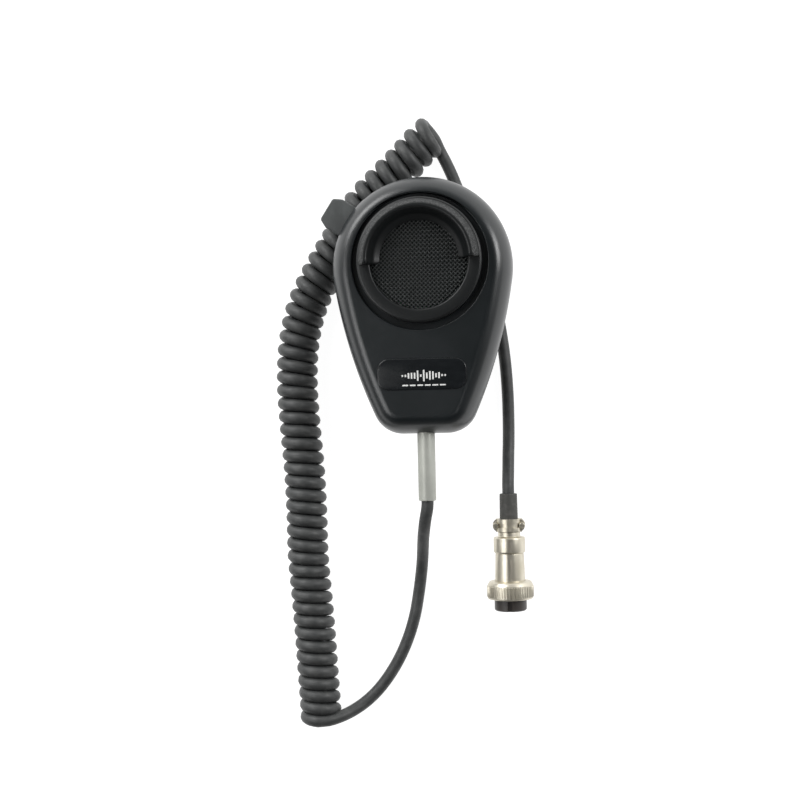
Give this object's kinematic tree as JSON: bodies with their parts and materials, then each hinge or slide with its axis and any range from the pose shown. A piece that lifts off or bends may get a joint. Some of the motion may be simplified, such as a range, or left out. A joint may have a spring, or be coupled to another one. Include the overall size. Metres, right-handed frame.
{
  "type": "hand microphone",
  "caption": "Teardrop hand microphone with a round mouthpiece and lip guard, side talk key, hang-up button, curly cord and a round locking plug.",
  "frame": {"origin": "middle of the hang-up button's outer face, on the round head's centre line", "axes": "+Z out of the front face, +Y towards the microphone's top, away from the cord's exit, +X to the right as the face is seen"},
  "size_m": [0.106, 0.2534, 0.046],
  "materials": {
    "shell_black": "moulded, fine satin grain",
    "mouthpiece_black": "moulded, spark-eroded grain on the lip guard",
    "mesh_black": "woven wire, black oxide",
    "foam_grey": "open-cell foam",
    "plate_black": "smooth, slightly glossy",
    "can_aluminium": "satin",
    "boot_rubber": "matt",
    "key_rubber": "matt, soft touch",
    "switch_plastic": "moulded",
    "plunger_white": "moulded",
    "spring_steel": "bright drawn wire",
    "brass": "tinned",
    "board_green": "solder mask",
    "capacitor_sleeve": "printed sleeve",
    "chip_black": "moulded epoxy",
    "resistor_tan": "lacquer",
    "header_white": "nylon",
    "screw_zinc": "zinc plated",
    "button_steel": "nickel plated, turned",
    "tube_satin": "satin nickel",
    "clamp_zinc": "zinc plated pressing",
    "cord_black": "extruded jacket, low sheen",
    "wire_red": "thin insulation",
    "sleeve_black": "heat-shrink sleeve",
    "plug_nickel": "bright nickel plate",
    "insert_black": "phenolic"
  },
  "bodies": {
    "microphone": {"rear_shell": "shell_black", "front_shell": "shell_black", "mouthpiece": "mouthpiece_black", "mesh_screen": "mesh_black", "foam_pad": "foam_grey", "name_plate": "plate_black", "microphone_cartridge": "can_aluminium", "cartridge_boot": "boot_rubber", "switch_body": "switch_plastic", "switch_terminals": "brass", "circuit_board": "board_green", "capacitors": "capacitor_sleeve", "amplifier_chip": "chip_black", "resistors": "resistor_tan", "wire_header": "header_white", "board_screws": "screw_zinc", "case_screws": "screw_zinc", "hang_button": "button_steel", "button_screw": "screw_zinc", "strain_tube": "tube_satin", "tube_nut": "brass", "cord_clamp": "clamp_zinc", "clamp_screws": "screw_zinc", "cord_core": "cord_black", "inner_wires": "wire_red", "cord_lead": "cord_black", "curly_cord": "cord_black", "cord_tail": "cord_black", "plug_sleeve": "sleeve_black", "rear_barrel": "plug_nickel", "clamp_saddle": "plug_nickel", "saddle_screws": "plug_nickel", "front_barrel": "plug_nickel", "plug_insert": "insert_black", "plug_contacts": "brass"},
    "talk_key": {"talk_key": "key_rubber"},
    "switch_plunger": {"switch_plunger": "plunger_white", "return_spring": "spring_steel"},
    "slip_washer": {"slip_washer": "plug_nickel"},
    "coupling_ring": {"coupling_ring": "plug_nickel"}
  },
  "joints": [
    {"name": "talk_press", "type": "slide", "parent": "microphone", "child": "talk_key", "axis": [0.8387, -0.5446, 0], "range_m": [0, 0.003], "stiffness_N_per_m": 900, "springref_m": -0.0015},
    {"name": "plunger_press", "type": "slide", "parent": "microphone", "child": "switch_plunger", "axis": [0.8387, -0.5446, 0], "range_m": [0, 0.003]},
    {"name": "ring_slide", "type": "slide", "parent": "microphone", "child": "slip_washer", "axis": [0, -1, 0], "range_m": [0, 0.0034]},
    {"name": "ring_turn", "type": "hinge", "parent": "slip_washer", "child": "coupling_ring", "pos_m": [0.0318, -0.1327, 0.00965], "axis": [0, -1, 0], "continuous": true}
  ],
  "couplings": [
    {"joint": "plunger_press", "follows": "talk_press", "ratio": 1}
  ]
}
